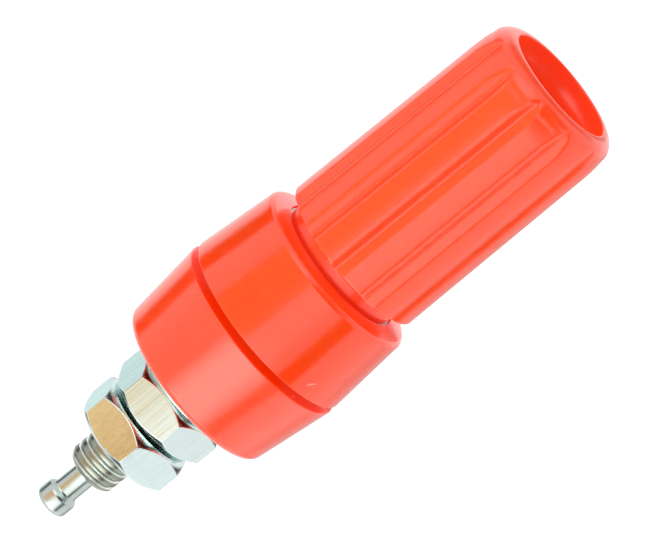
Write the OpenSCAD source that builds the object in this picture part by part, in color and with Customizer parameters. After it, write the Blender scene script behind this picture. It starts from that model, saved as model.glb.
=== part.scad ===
// Panel-mounting binding post with a 4 mm plug socket.
// The axis is Z, the panel's front face is z = 0, and the knob's mouth points to +Z.
// Threads are plain cylinders at their outside diameter.

/* [Panel] */
// Thinnest panel, which is the gap between the collars as assembled
panel_min = 0.6; // [0.4:0.1:1.2]
// Thickest panel that the collars can clamp
panel_max = 3.4; // [2.6:0.1:3.6]
// Diameter of the boss that sits in the panel hole
boss_d = 9; // [8:0.1:10]

/* [Front collar] */
// Height above the panel
front_h = 6.5; // [5:0.1:9]
// Diameter at the top
front_top_d = 13.85; // [12.5:0.05:13.9]
// Rounding of the top edge
front_round = 0.37; // [0.1:0.01:0.6]
// Height of the rim round the stud's flange
front_rim_h = 0.15; // [0.1:0.01:0.17]
// Wall of that rim
front_rim_w = 0.45; // [0.3:0.05:0.6]

/* [Rear collar] */
// Height
rear_h = 6.5; // [5:0.1:7]
// Diameter at the panel
rear_top_d = 14.95; // [14:0.05:17]
// How far it stands out past the front collar all round
collar_step = 0.05; // [0:0.01:0.2]
// Diameter at the washer
rear_low_d = 13.5; // [12:0.05:13.9]
// Rounding of the bottom edge
rear_round = 0.55; // [0.2:0.05:1]

/* [Contact stud] */
// Bore that takes the plug
socket_d = 4; // [3.6:0.1:4.2]
// Depth of the full-width bore
socket_depth = 11.5; // [9:0.1:12]
// Outside diameter of the knob's thread on the socket tube
tube_d = 6; // [5.6:0.1:6.4]
// Cross hole that takes a bare wire
wire_d = 2; // [1.5:0.1:2]
// Diameter of the flange that carries the stud on the front collar
flange_d = 9.4; // [9:0.1:11]
// How deep the flange sits in the front collar
flange_sink = 0.6; // [0.3:0.05:0.8]
// How far the flange stands out above the collar
flange_rise = 0.2; // [0.2:0.01:0.3]
// Diameter of the shank under the flange
shank_d = 5.2; // [4.8:0.1:6]
// Width across the shank's two flats
shank_flats = 4.4; // [4.2:0.1:4.6]
// Outside diameter of the rear thread
thread_d = 4; // [3.5:0.1:4]
// Distance from the panel's face to the end of the rear thread
thread_end = 17.2; // [17:0.1:19]
// Diameter of the solder tip's neck
tip_neck_d = 1.9; // [1.6:0.05:2.2]
// Length of the neck
tip_neck_h = 2.1; // [1:0.1:3]
// Diameter of the solder tip's head
tip_head_d = 2.6; // [2.3:0.05:3]
// Length of the head
tip_head_h = 1.65; // [1:0.05:2.5]

/* [Knob] */
// Overall length
knob_h = 20.45; // [19:0.05:24]
// Diameter at the lower end of the fluted part
knob_low_d = 12.4; // [12:0.05:13.4]
// Diameter at the shoulder in front
knob_front_d = 12.1; // [12:0.05:12.4]
// Diameter of the plain neck
knob_neck_d = 10.5; // [10:0.1:11]
// Height of the plain neck
knob_neck_h = 1.15; // [0.6:0.05:1.5]
// Diameter of the mouth
mouth_d = 8.9; // [8.8:0.05:9]
// How far the socket tube ends below the mouth
mouth_recess = 4.8; // [4.4:0.1:6]
// Number of flutes
flute_count = 12; // [8:1:16]
// Width of a flute
flute_w = 1.1; // [0.8:0.05:1.4]
// Depth of a flute
flute_depth = 0.33; // [0.2:0.01:0.4]

/* [Knob bush] */
// Length of the threaded bush in the knob
bush_h = 8.2; // [7:0.1:8.6]
// Diameter of the bush's body
bush_d = 8.5; // [8.4:0.05:8.5]

/* [Nuts and washer] */
// Width across the flats
nut_flats = 7.7; // [7:0.05:8]
// Thickness of a nut
nut_h = 3; // [2.2:0.05:3.1]
// Gap between the two nuts
nut_gap = 0.25; // [0.2:0.05:0.6]
// Turn of the panel nut about the axis
panel_nut_angle = -8.5; // [-30:0.5:30]
// Turn of the terminal nut about the axis
terminal_nut_angle = -18.5; // [-30:0.5:30]
// Diameter of the washer
washer_d = 8.15; // [7.5:0.05:10]
// Thickness of the washer
washer_h = 0.8; // [0.6:0.05:1.2]

/* [Fits] */
// Radial clearance where pieces turn, slide or screw on each other
run_fit = 0.05; // [0.03:0.01:0.08]
// Gap between end faces of pieces that move apart
face_gap = 0.04; // [0.03:0.01:0.08]
// Radial clearance of the rear thread in the rear collar and the washer
loose_fit = 0.25; // [0.15:0.05:0.3]

/* [Hidden] */
$fn = 96;

red = [0.86, 0.11, 0.06];
nickel = [0.80, 0.79, 0.76];
brass = [0.78, 0.62, 0.30];

arc_steps = 8;
edge_break = 0.15;
// How far solids reach into each other where they join, and cutters past what they cut
overlap = 0.01;
cut_past = 1;

// The boss reaches past the thickest panel, so that it still centres the rear collar
boss_lead = 0.2;
boss_h = panel_max + boss_lead;
boss_flat_cut = 0.5;
boss_flat = boss_d / 2 - boss_flat_cut;

front_low_d = rear_top_d - 2 * collar_step;
rear_top_z = -panel_min;
rear_low_z = rear_top_z - rear_h;
washer_low_z = rear_low_z - washer_h;
panel_nut_z = washer_low_z - face_gap - nut_h;
terminal_nut_z = panel_nut_z - nut_gap - nut_h;
tip_head_z = -thread_end - tip_neck_h;

flange_low_z = front_h - flange_sink;
flange_top_z = front_h + flange_rise;
shank_low_z = -boss_h / 2;
shank_h = flange_low_z - shank_low_z;
thread_lead = 0.45;
wire_gap = 0.35;
wire_z = flange_top_z + wire_gap + wire_d / 2;

knob_low_z = flange_top_z + face_gap;
knob_top_z = knob_low_z + knob_h;
flute_low_z = knob_low_z + knob_neck_h;
tube_top_z = knob_top_z - mouth_recess;
socket_low_z = tube_top_z - socket_depth;
drill_angle = 120;
drill_point_h = socket_d / 2 / tan(drill_angle / 2);

// The front shoulder leans in a little, then turns over a round lip into the mouth
shoulder_h = 3;
shoulder_in = 0.18;
shoulder_r = knob_front_d / 2 - shoulder_in;
lip_in = 0.1;
lip_crest_r = mouth_d / 2 + lip_in;
lip_out = shoulder_r - lip_crest_r;
mouth_draft_h = 5;
cavity_r = bush_d / 2 + run_fit;

// The bush stands on a ledge round the hole in the knob's floor
bush_ledge = 0.4;
knob_floor_h = 1.2;
bush_nose_r = cavity_r - bush_ledge;
bush_seat_z = knob_low_z + knob_floor_h;

// A nut's round end faces, as a share of the width across its flats
nut_face_share = 0.95;
nut_chamfer_angle = 40;

// A flute is a round cutter that leans in with the knob's own draft
flute_r = (flute_w * flute_w / 4 + flute_depth * flute_depth) / (2 * flute_depth);
flute_h = knob_top_z - flute_low_z;
draft = atan((knob_low_d - knob_front_d) / 2 / (flute_h - shoulder_h));

// Points of an arc about [r, z], from angle a to angle b
function arc(r, z, radius, a, b) =
    [for (i = [0:arc_steps]) let (t = a + (b - a) * i / arc_steps)
        [r + radius * cos(t), z + radius * sin(t)]];

// A tapered collar standing on z = 0 with rounded bottom and top edges
module collar(h, low_d, top_d, low_round, top_round) {
    rotate_extrude()
        polygon(concat(
            [[0, 0]],
            arc(low_d / 2 - low_round, low_round, low_round, -90, 0),
            arc(top_d / 2 - top_round, h - top_round, top_round, 0, 90),
            [[0, h]]));
}

// A round bar from z = 0 to h, cut flat at x = low and x = high
module flatted_bar(d, low, high, h) {
    intersection() {
        cylinder(d = d, h = h);
        translate([low, -d, 0])
            cube([high - low, 2 * d, h]);
    }
}

// A hexagon nut standing on z = 0, chamfered at both ends
module hex_nut(bore_d) {
    corner_r = nut_flats / sqrt(3);
    face_r = nut_face_share * nut_flats / 2;
    chamfer_h = (corner_r - face_r) * tan(nut_chamfer_angle);
    sink = 0.25;
    difference() {
        intersection() {
            cylinder(r = corner_r, h = nut_h, $fn = 6);
            rotate_extrude()
                polygon([[0, 0], [face_r, 0], [corner_r, chamfer_h],
                         [corner_r, nut_h - chamfer_h], [face_r, nut_h], [0, nut_h]]);
        }
        translate([0, 0, -cut_past])
            cylinder(d = bore_d, h = nut_h + 2 * cut_past);
        translate([0, 0, -overlap])
            cylinder(r1 = bore_d / 2 + sink + overlap, r2 = bore_d / 2, h = sink + overlap);
        translate([0, 0, nut_h - sink])
            cylinder(r1 = bore_d / 2, r2 = bore_d / 2 + sink + overlap, h = sink + overlap);
    }
}

module contact_stud() {
    head_round = 0.4;
    head_cone_h = 0.35;
    thread_r = thread_d / 2;
    tube_r = tube_d / 2;
    head_r = tip_head_d / 2;
    color(nickel)
    difference() {
        union() {
            // Solder tip and rear thread
            rotate_extrude()
                polygon(concat(
                    [[0, tip_head_z - tip_head_h]],
                    arc(head_r - head_round, tip_head_z - tip_head_h + head_round, head_round, -90, 0),
                    [[head_r, tip_head_z - head_cone_h], [tip_neck_d / 2, tip_head_z],
                     [tip_neck_d / 2, -thread_end],
                     [thread_r - thread_lead, -thread_end], [thread_r, thread_lead - thread_end],
                     [thread_r, shank_low_z + overlap], [0, shank_low_z + overlap]]));
            // Flatted shank, which the front collar keeps from turning
            translate([0, 0, shank_low_z])
                flatted_bar(shank_d, -shank_flats / 2, shank_flats / 2, shank_h + overlap);
            // Flange and threaded socket tube
            rotate_extrude()
                polygon([[0, flange_low_z], [flange_d / 2, flange_low_z],
                         [flange_d / 2, flange_top_z - edge_break],
                         [flange_d / 2 - edge_break, flange_top_z],
                         [tube_r, flange_top_z], [tube_r, tube_top_z - thread_lead],
                         [tube_r - thread_lead, tube_top_z], [0, tube_top_z]]);
        }
        // Socket bore with its drill point
        translate([0, 0, socket_low_z])
            cylinder(d = socket_d, h = socket_depth + cut_past);
        translate([0, 0, socket_low_z - drill_point_h])
            cylinder(d1 = 0, d2 = socket_d, h = drill_point_h);
        // Wire hole
        translate([0, tube_d, wire_z])
            rotate([90, 0, 0])
                cylinder(d = wire_d, h = 2 * tube_d);
    }
}

module front_collar() {
    hole_d = shank_d + 2 * run_fit;
    hole_flat = shank_flats / 2 + run_fit;
    recess_r = flange_d / 2 + run_fit;
    color(red)
    difference() {
        union() {
            collar(front_h, front_low_d, front_top_d, edge_break, front_round);
            translate([0, 0, front_h - overlap])
                cylinder(r = recess_r + front_rim_w, h = front_rim_h + overlap);
            translate([0, 0, -boss_h])
                flatted_bar(boss_d, -boss_d / 2, boss_flat, boss_h + overlap);
        }
        translate([0, 0, -boss_h - cut_past])
            flatted_bar(hole_d, -hole_flat, hole_flat, boss_h + front_h + 2 * cut_past);
        translate([0, 0, flange_low_z])
            cylinder(r = recess_r, h = flange_sink + cut_past);
    }
}

module rear_collar() {
    socket_r = boss_d / 2 + run_fit;
    color(red)
    difference() {
        translate([0, 0, rear_low_z])
            collar(rear_h, rear_low_d, rear_top_d, rear_round, edge_break);
        translate([0, 0, -boss_h - face_gap])
            flatted_bar(2 * socket_r, -socket_r, boss_flat + run_fit, boss_h + cut_past);
        translate([0, 0, rear_low_z - cut_past])
            cylinder(r = thread_d / 2 + loose_fit, h = rear_h + 2 * cut_past);
    }
}

module washer() {
    color(nickel)
    translate([0, 0, washer_low_z])
        difference() {
            cylinder(d = washer_d, h = washer_h);
            translate([0, 0, -cut_past])
                cylinder(r = thread_d / 2 + loose_fit, h = washer_h + 2 * cut_past);
        }
}

module panel_nut() {
    color(nickel)
    translate([0, 0, panel_nut_z])
        rotate([0, 0, panel_nut_angle])
            hex_nut(thread_d + 2 * run_fit);
}

module terminal_nut() {
    color(nickel)
    translate([0, 0, terminal_nut_z])
        rotate([0, 0, terminal_nut_angle])
            hex_nut(thread_d + 2 * run_fit);
}

module knob_bush() {
    bore_r = tube_d / 2 + run_fit;
    nose_r = bush_nose_r - run_fit;
    body_r = bush_d / 2;
    body_z = bush_seat_z + face_gap;
    top_z = knob_low_z + bush_h;
    lead = 0.3;
    color(brass)
    rotate_extrude()
        polygon([[bore_r + lead, knob_low_z], [nose_r, knob_low_z], [nose_r, body_z],
                 [body_r, body_z], [body_r, top_z - edge_break], [body_r - edge_break, top_z],
                 [bore_r + lead, top_z], [bore_r, top_z - lead], [bore_r, knob_low_z + lead]]);
}

module knob() {
    low_round = 0.25;
    neck_r = knob_neck_d / 2;
    low_r = knob_low_d / 2;
    color(red)
    difference() {
        rotate_extrude()
            polygon(concat(
                [[bush_nose_r, knob_low_z], [neck_r - edge_break, knob_low_z],
                 [neck_r, knob_low_z + edge_break], [neck_r, flute_low_z]],
                arc(low_r - low_round, flute_low_z + low_round, low_round, -90, 0),
                [[knob_front_d / 2, knob_top_z - shoulder_h]],
                arc(lip_crest_r, knob_top_z - lip_out, lip_out, 0, 90),
                arc(lip_crest_r, knob_top_z - lip_in, lip_in, 90, 180),
                [[cavity_r, knob_top_z - mouth_draft_h],
                 [cavity_r, bush_seat_z], [bush_nose_r, bush_seat_z]]));
        // Flutes, with the first one on the -Y side
        for (i = [0:flute_count - 1])
            rotate([0, 0, 360 * i / flute_count - 90])
                translate([low_r + flute_r - flute_depth, 0, flute_low_z - overlap])
                    rotate([0, -draft, 0])
                        cylinder(r = flute_r, h = flute_h);
    }
}

contact_stud();
front_collar();
rear_collar();
washer();
panel_nut();
terminal_nut();
knob_bush();
knob();
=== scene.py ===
# %% [markdown]
# # A red binding post, dressed for its picture
# The part is a binding post for a front panel: a fluted red knob screws up and down
# over a socket for a 4 mm plug, two red collars clamp the panel, and two nuts hold it
# all on a threaded stud that ends in a tip for solder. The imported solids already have
# the right places and sizes, so they are loaded first and kept as a fixed frame, and
# each one is then modelled again with the rounds, threads and finishes of the real thing.

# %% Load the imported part
import math

import bmesh
import bpy
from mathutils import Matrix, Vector


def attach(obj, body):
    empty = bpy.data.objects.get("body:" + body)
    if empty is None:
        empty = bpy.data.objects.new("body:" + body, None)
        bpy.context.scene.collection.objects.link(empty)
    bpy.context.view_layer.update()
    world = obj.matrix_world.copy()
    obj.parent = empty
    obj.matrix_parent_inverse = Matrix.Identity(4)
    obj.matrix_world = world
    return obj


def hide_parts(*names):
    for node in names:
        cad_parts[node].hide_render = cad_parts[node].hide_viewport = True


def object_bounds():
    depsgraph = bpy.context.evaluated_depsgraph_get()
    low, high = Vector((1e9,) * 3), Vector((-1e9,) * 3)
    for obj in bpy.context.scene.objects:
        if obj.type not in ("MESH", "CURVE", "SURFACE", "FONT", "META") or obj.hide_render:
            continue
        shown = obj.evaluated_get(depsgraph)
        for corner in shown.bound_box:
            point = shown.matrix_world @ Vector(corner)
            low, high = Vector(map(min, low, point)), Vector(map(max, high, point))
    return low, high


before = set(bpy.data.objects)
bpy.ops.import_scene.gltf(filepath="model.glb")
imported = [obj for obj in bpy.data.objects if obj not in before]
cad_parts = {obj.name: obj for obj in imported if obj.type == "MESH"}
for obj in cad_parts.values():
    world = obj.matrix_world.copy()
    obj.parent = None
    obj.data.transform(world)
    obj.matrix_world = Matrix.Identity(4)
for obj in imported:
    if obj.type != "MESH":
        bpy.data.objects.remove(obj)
cad_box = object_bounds()
MM = 0.001
print("nodes:", ", ".join(sorted(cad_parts)))

# %% [markdown]
# ## The camera
# The picture is taken from far away with a long lens, so the sides of the post stay
# almost parallel. The camera stands in front of the post and a little towards its mouth,
# and is rolled about its own line of sight, so that the upright post lies from lower
# left to upper right. Rolling the camera, and not the post, keeps the part in its frame.

# %% Set up the camera
IMAGE_WIDTH = 666
FOCAL_PIXELS = 7844
CAMERA_DISTANCE = 0.55
CAMERA_TILT = math.radians(16)
CAMERA_ROLL = math.radians(50.76)
AIM = Vector((0.0003, 0, 0.00576))

stand = Vector((0, -math.cos(CAMERA_TILT), math.sin(CAMERA_TILT))) * CAMERA_DISTANCE
bpy.ops.object.select_all(action="DESELECT")
bpy.ops.object.camera_add(location=stand)
camera = bpy.context.object
camera.rotation_euler = (AIM - stand).to_track_quat("-Z", "Y").to_euler()
camera.rotation_euler.rotate_axis("Z", CAMERA_ROLL)
camera.data.lens = camera.data.sensor_width * FOCAL_PIXELS / IMAGE_WIDTH
bpy.context.scene.camera = camera
bpy.context.scene.view_settings.view_transform = "Standard"
print(f"camera at {tuple(round(v, 4) for v in stand)}, lens {camera.data.lens:.1f} mm")

# %% [markdown]
# ## Building node trees
# World, floor and materials are all trees of nodes. A few small helpers keep their cells
# short: they add a node, do a sum, stretch a range, mix two colours, make a noise and
# start a group. All of them treat an input in the same way: a socket is linked to it, and
# any other value is set on it.

# %% Helpers for nodes
FLOAT, VECTOR = "NodeSocketFloat", "NodeSocketVector"


def feed(tree, socket, value):
    if isinstance(value, bpy.types.NodeSocket):
        tree.links.new(value, socket)
    else:
        socket.default_value = value


def add_node(tree, kind, inputs=None, **fields):
    node = tree.nodes.new(kind)
    for name, value in fields.items():
        setattr(node, name, value)
    for name, value in (inputs or {}).items():
        feed(tree, node.inputs[name], value)
    return node


def math_node(tree, operation, *values):
    node = add_node(tree, "ShaderNodeMath", dict(enumerate(values)), operation=operation)
    return node.outputs["Value"]


def ramp(tree, value, low, high, start=0.0, end=1.0, kind="LINEAR"):
    node = add_node(tree, "ShaderNodeMapRange", {
        "Value": value, "From Min": low, "From Max": high, "To Min": start, "To Max": end},
        interpolation_type=kind)
    return node.outputs["Result"]


def mix_colours(tree, share, first, second):
    # A Mix node has sockets for each data type; these are the ones for colours
    node = add_node(tree, "ShaderNodeMix", {0: share, 6: first, 7: second}, data_type="RGBA")
    return node.outputs[2]


def noise(tree, place, scale, detail):
    node = add_node(tree, "ShaderNodeTexNoise", {
        "Vector": place, "Scale": scale, "Detail": detail})
    return node.outputs["Fac"]


def new_group(name, inputs, outputs):
    group = bpy.data.node_groups.new(name, "ShaderNodeTree")
    for label, kind, value in inputs:
        socket = group.interface.new_socket(label, in_out="INPUT", socket_type=kind)
        if value is not None:
            socket.default_value = value
    for label, kind in outputs:
        group.interface.new_socket(label, in_out="OUTPUT", socket_type=kind)
    source = group.nodes.new("NodeGroupInput")
    target = group.nodes.new("NodeGroupOutput")
    return group, source.outputs, target.inputs


print("node helpers ready")

# %% [markdown]
# ## The light tent
# Small shiny things are photographed in a tent of white cloth, which lights them from
# all sides. What the metal and the gloss show is the tent itself: a bright round lamp
# low in front, a second lamp higher up on the left, a tan card with some grain beside the
# lens, the dark lens, and the dark gaps where the cloth stops: at the sides, at the top
# and behind. Each of these is a patch on the world, given by its direction in degrees, so
# that its place can be read from the picture's reflections. A group makes one patch: the
# power decides between an oval, at 2, and a rectangle with round corners, at 8.

# %% A patch on the tent
patch, given, made = new_group(
    "tent_patch",
    [("Azimuth", FLOAT, 0.0), ("Elevation", FLOAT, 0.0),
     ("Middle azimuth", FLOAT, 0.0), ("Middle elevation", FLOAT, 0.0),
     ("Half width", FLOAT, 10.0), ("Half height", FLOAT, 10.0),
     ("Power", FLOAT, 2.0), ("Soft edge", FLOAT, 0.1)],
    [("Mask", FLOAT)])
shares = []
for angle, middle, half in (("Azimuth", "Middle azimuth", "Half width"),
                            ("Elevation", "Middle elevation", "Half height")):
    away = math_node(patch, "ABSOLUTE", math_node(patch, "SUBTRACT", given[angle], given[middle]))
    share = math_node(patch, "DIVIDE", away, given[half])
    shares.append(math_node(patch, "POWER", share, given["Power"]))
root = math_node(patch, "DIVIDE", 1.0, given["Power"])
reach = math_node(patch, "POWER", math_node(patch, "ADD", *shares), root)
inner = math_node(patch, "SUBTRACT", 1.0, given["Soft edge"])
outer = math_node(patch, "ADD", 1.0, given["Soft edge"])
patch.links.new(ramp(patch, reach, inner, outer, 1.0, 0.0, "SMOOTHSTEP"), made["Mask"])
print("patch group with", len(patch.nodes), "nodes")

# %% Directions and the card's grain
CARD_BROWN, CARD_GOLD = (0.72, 0.37, 0.13, 1), (1.35, 0.85, 0.45, 1)
CARD_GRAIN, GRAIN_LOW, GRAIN_HIGH = 30.0, 0.35, 0.65
world = bpy.data.worlds.new("tent")
bpy.context.scene.world = world
world.use_nodes = True
tree = world.node_tree
tree.nodes.clear()
ray = add_node(tree, "ShaderNodeTexCoord").outputs["Generated"]
parts = add_node(tree, "ShaderNodeSeparateXYZ", {"Vector": ray}).outputs
towards_lens = math_node(tree, "MULTIPLY", parts["Y"], -1.0)
azimuth = math_node(tree, "DEGREES", math_node(tree, "ARCTAN2", parts["X"], towards_lens))
elevation = math_node(tree, "DEGREES", math_node(tree, "ARCSINE", parts["Z"]))
grain = ramp(tree, noise(tree, ray, CARD_GRAIN, detail=3.0), GRAIN_LOW, GRAIN_HIGH)
card = mix_colours(tree, grain, CARD_BROWN, CARD_GOLD)
print("directions ready, card from", CARD_BROWN[:3], "to", CARD_GOLD[:3])

# %% Put the patches on the tent
TENT_WHITE, PLAIN_WHITE = (0.97, 0.94, 0.95, 1), (1, 1, 1, 1)
# Each patch: colour, middle azimuth and elevation, half width and height, power, soft edge
PATCHES = {
    "upper lamp": ((1.7, 1.7, 1.7, 1), -34, 32, 19, 27, 4, 0.25),
    "dark lens": ((0.05, 0.05, 0.05, 1), 20, 24, 26, 24, 3, 0.3),
    "dark top": ((0.15, 0.15, 0.15, 1), 42, 62, 40, 22, 4, 0.3),
    "tan card": (card, -32.5, -9, 28.5, 16, 8, 0.1),
    "left gap": ((0.02, 0.02, 0.02, 1), -115, -6, 14, 24, 8, 0.3),
    "round lamp": ((1.5, 1.5, 1.48, 1), 14, -32, 37, 28, 2, 0.07),
    "lamp core": ((3.3, 3.25, 3.2, 1), 14, -42, 36, 18, 2, 0.25),
    "right gap": ((0.02, 0.02, 0.02, 1), 59, -4, 10, 24, 8, 0.2),
    "pale edge": ((1.2, 1.08, 0.98, 1), -13, -16, 9, 5, 8, 0.25),
    "lower side": ((1.2, 1.25, 1.25, 1), 95, -36, 26, 14, 4, 0.3),
    "right back": ((0.55, 0.52, 0.52, 1), 148, -15, 24, 15, 4, 0.4),
    "left back": ((0.77, 0.88, 0.88, 1), -152, -15, 24, 15, 4, 0.4),
    "back top right": ((0.2, 0.2, 0.2, 1), 180, 54, 30, 22, 4, 0.3),
    "back top left": ((0.2, 0.2, 0.2, 1), -180, 54, 62, 22, 4, 0.3),
    "back shade": ((0.2, 0.18, 0.18, 1), 176, 20, 5.5, 7, 4, 0.25),
}
PATCH_FIELDS = ("Middle azimuth", "Middle elevation", "Half width", "Half height",
                "Power", "Soft edge")
shown = TENT_WHITE
for name, (colour, *numbers) in PATCHES.items():
    spot = add_node(tree, "ShaderNodeGroup", {
        "Azimuth": azimuth, "Elevation": elevation, **dict(zip(PATCH_FIELDS, numbers))},
        node_tree=patch, label=name)
    shown = mix_colours(tree, spot.outputs["Mask"], shown, colour)
lens_ray = add_node(tree, "ShaderNodeLightPath").outputs["Is Camera Ray"]
shown = mix_colours(tree, lens_ray, shown, PLAIN_WHITE)
sky = add_node(tree, "ShaderNodeBackground", {"Color": shown, "Strength": 1.0})
add_node(tree, "ShaderNodeOutputWorld", {"Surface": sky.outputs[0]})
print("tent patches:", ", ".join(PATCHES))

# %% [markdown]
# ## The floor
# The picture's background is plain white with no shadow in view. The floor is a wide
# disc well under the tip. It glows a little by itself, so that it reads as white, and the
# rest of its white is lit, so that the post still leaves a soft shadow below. Only the
# camera sees it: the tent goes on below it and is what the metal mirrors. From below it
# is clear.

# %% Lay the floor
FLOOR_DROP, FLOOR_RADIUS, FLOOR_SIDES = 20 * MM, 3.0, 96
FLOOR_LIT, FLOOR_GLOW = (0.85, 0.85, 0.85, 1), 0.55
floor_height = cad_box[0][2] - FLOOR_DROP
bpy.ops.object.select_all(action="DESELECT")
bpy.ops.mesh.primitive_circle_add(
    vertices=FLOOR_SIDES, radius=FLOOR_RADIUS, fill_type="NGON", location=(0, 0, floor_height))
floor = bpy.context.object
floor.name = "floor"
bpy.ops.object.transform_apply()
floor.visible_diffuse = floor.visible_glossy = floor.visible_shadow = False
floor_paint = bpy.data.materials.new("floor_white")
floor_paint.use_nodes = True
tree = floor_paint.node_tree
tree.nodes.clear()
lit = add_node(tree, "ShaderNodeBsdfDiffuse", {"Color": FLOOR_LIT})
glow = add_node(tree, "ShaderNodeEmission", {"Color": PLAIN_WHITE, "Strength": FLOOR_GLOW})
above = add_node(tree, "ShaderNodeAddShader", {0: lit.outputs[0], 1: glow.outputs[0]})
below = add_node(tree, "ShaderNodeBsdfTransparent")
from_below = add_node(tree, "ShaderNodeNewGeometry").outputs["Backfacing"]
both = add_node(tree, "ShaderNodeMixShader", {
    0: from_below, 1: above.outputs[0], 2: below.outputs[0]})
add_node(tree, "ShaderNodeOutputMaterial", {"Surface": both.outputs[0]})
floor.data.materials.append(floor_paint)
print(f"floor {FLOOR_DROP / MM:.0f} mm below the tip")

# %% [markdown]
# ## Working as on a lathe
# Almost every piece here is turned: one outline spun about the axis. The outline is
# drawn point by point by extruding a single vertex, in millimetres as radius and height,
# and a third number rounds that corner with a vertex bevel before the spin, which is
# easier than finding and bevelling rings of edges afterwards.

# %% Helpers for turned pieces
# Corners closer than this, in metres, count as the same place
TOUCH = 1e-6


def only(piece):
    bpy.ops.object.select_all(action="DESELECT")
    piece.select_set(True)
    bpy.context.view_layer.objects.active = piece


def pick(piece, test):
    bpy.ops.mesh.select_all(action="DESELECT")
    sheet = bmesh.from_edit_mesh(piece.data)
    for corner in sheet.verts:
        corner.select = test(corner)
    sheet.select_flush_mode()


def draw(name, outline, closed=True, segments=8):
    start = (outline[0][0] * MM, 0, outline[0][1] * MM)
    bpy.ops.object.select_all(action="DESELECT")
    bpy.ops.mesh.primitive_plane_add(size=MM, location=start)
    piece = bpy.context.object
    piece.name = piece.data.name = name
    bpy.ops.object.transform_apply()
    bpy.ops.object.mode_set(mode="EDIT")
    bpy.ops.mesh.merge(type="CENTER")
    for here, there in zip(outline, outline[1:]):
        step = ((there[0] - here[0]) * MM, 0, (there[1] - here[1]) * MM)
        bpy.ops.mesh.extrude_vertices_move(TRANSFORM_OT_translate={"value": step})
    if closed:
        pick(piece, lambda corner: len(corner.link_edges) == 1)
        bpy.ops.mesh.edge_face_add()
    for radius, height, size in [point for point in outline if len(point) == 3]:
        spot = Vector((radius * MM, 0, height * MM))
        pick(piece, lambda corner: (corner.co - spot).length < TOUCH)
        bpy.ops.mesh.bevel(offset=size * MM, segments=segments, affect="VERTICES")
    bpy.ops.mesh.select_all(action="SELECT")
    return piece


def close_up(piece):
    bpy.ops.mesh.select_all(action="SELECT")
    bpy.ops.mesh.remove_doubles(threshold=TOUCH / 10)
    bpy.ops.mesh.normals_make_consistent(inside=False)
    bpy.ops.object.mode_set(mode="OBJECT")
    return piece


def turn(name, outline, closed=True, steps=96, segments=8):
    piece = draw(name, outline, closed, segments)
    bpy.ops.mesh.spin(steps=steps, angle=2 * math.pi, center=(0, 0, 0), axis=(0, 0, 1))
    return close_up(piece)


print("lathe ready")

# %% [markdown]
# ## Cutting
# What a lathe does not make is cut: flats, cross holes and threads. A tool is modelled as
# a solid of its own and taken away with a Boolean modifier. A thread's tool is the
# groove's section carried round a helix by the Screw modifier, as the tip of a threading
# tool moves along the bar, so the thread starts and runs out as a real one does.

# %% Helpers for cutting
def work(piece, operation, tool):
    only(piece)
    step = piece.modifiers.new(operation.lower(), "BOOLEAN")
    step.operation = operation
    step.object = tool
    step.solver = "MANIFOLD"
    bpy.ops.object.modifier_apply(modifier=step.name)
    bpy.data.objects.remove(tool)


def helix_tool(section, pitch, start, turns, steps=64):
    tool = draw("helix_tool", [(radius, start + height) for radius, height in section])
    bpy.ops.object.mode_set(mode="OBJECT")
    helix = tool.modifiers.new("helix", "SCREW")
    helix.screw_offset = pitch * MM
    helix.iterations = turns
    helix.steps = helix.render_steps = steps
    bpy.ops.object.modifier_apply(modifier=helix.name)
    bpy.ops.object.mode_set(mode="EDIT")
    bpy.ops.mesh.select_all(action="SELECT")
    bpy.ops.mesh.fill_holes(sides=0)
    return close_up(tool)


def block_tool(low, high):
    bpy.ops.object.select_all(action="DESELECT")
    middle = [(a + b) / 2 * MM for a, b in zip(low, high)]
    lengths = [(b - a) * MM for a, b in zip(low, high)]
    bpy.ops.mesh.primitive_cube_add(size=1, location=middle, scale=lengths)
    bpy.ops.object.transform_apply()
    return bpy.context.object


print("cutting tools ready")

# %% [markdown]
# Each finished piece is shaded smooth, except over edges that turn by more than a limit,
# and the Weighted Normal modifier keeps its flat faces flat. The report counts open edges,
# because a closed solid is what the next Boolean, and anyone who prints the piece, needs.

# %% Helpers for finishing
def report(piece):
    sheet = bmesh.new()
    sheet.from_mesh(piece.data)
    open_edges = sum(not edge.is_manifold for edge in sheet.edges)
    print(f"{piece.name}: {len(sheet.faces)} faces, {open_edges} open edges, "
          f"{sheet.calc_volume() / MM ** 3:.1f} mm3")
    sheet.free()


def smooth(piece, sharp_from=40):
    only(piece)
    bpy.ops.object.shade_smooth_by_angle(angle=math.radians(sharp_from))
    flat = piece.modifiers.new("flat", "WEIGHTED_NORMAL")
    flat.keep_sharp = True
    bpy.ops.object.modifier_apply(modifier=flat.name)
    report(piece)
    return piece


print("finishing tools ready")

# %% [markdown]
# ## The contact stud
# One brass bar, turned and nickel plated, runs through the whole post. From below it has
# a tip with a neck for solder, a 4 mm thread with rounded crests and narrow roots, a
# shank with two flats, a flange with a thin skirt that glints under the knob, and a tube
# with a 6 mm thread for the knob. The tube is drilled for the plug, and a cross hole takes
# a bare wire. The bar is turned first, then flatted, drilled and threaded, in the order
# of a workshop.

# %% Turn the stud
TIP_LOW, HEAD_HIGH, HEAD_RADIUS, HEAD_SLOPE, NECK_RADIUS = -20.95, -19.3, 1.3, 0.35, 0.95
THREAD_LOW, THREAD_RADIUS, THREAD_START, THREAD_LEAD = -17.2, 2.0, 1.6, 0.38
SHANK_LOW, SHANK_RADIUS = -1.8, 2.6
FLANGE_LOW, FLANGE_HIGH, FLANGE_RADIUS = 5.9, 6.7, 4.7
SKIRT_RADIUS, SKIRT_HIGH = 5.22, 6.66
TUBE_RADIUS, TUBE_HIGH, TUBE_CHAMFER = 3.0, 22.39, 0.45
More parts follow.
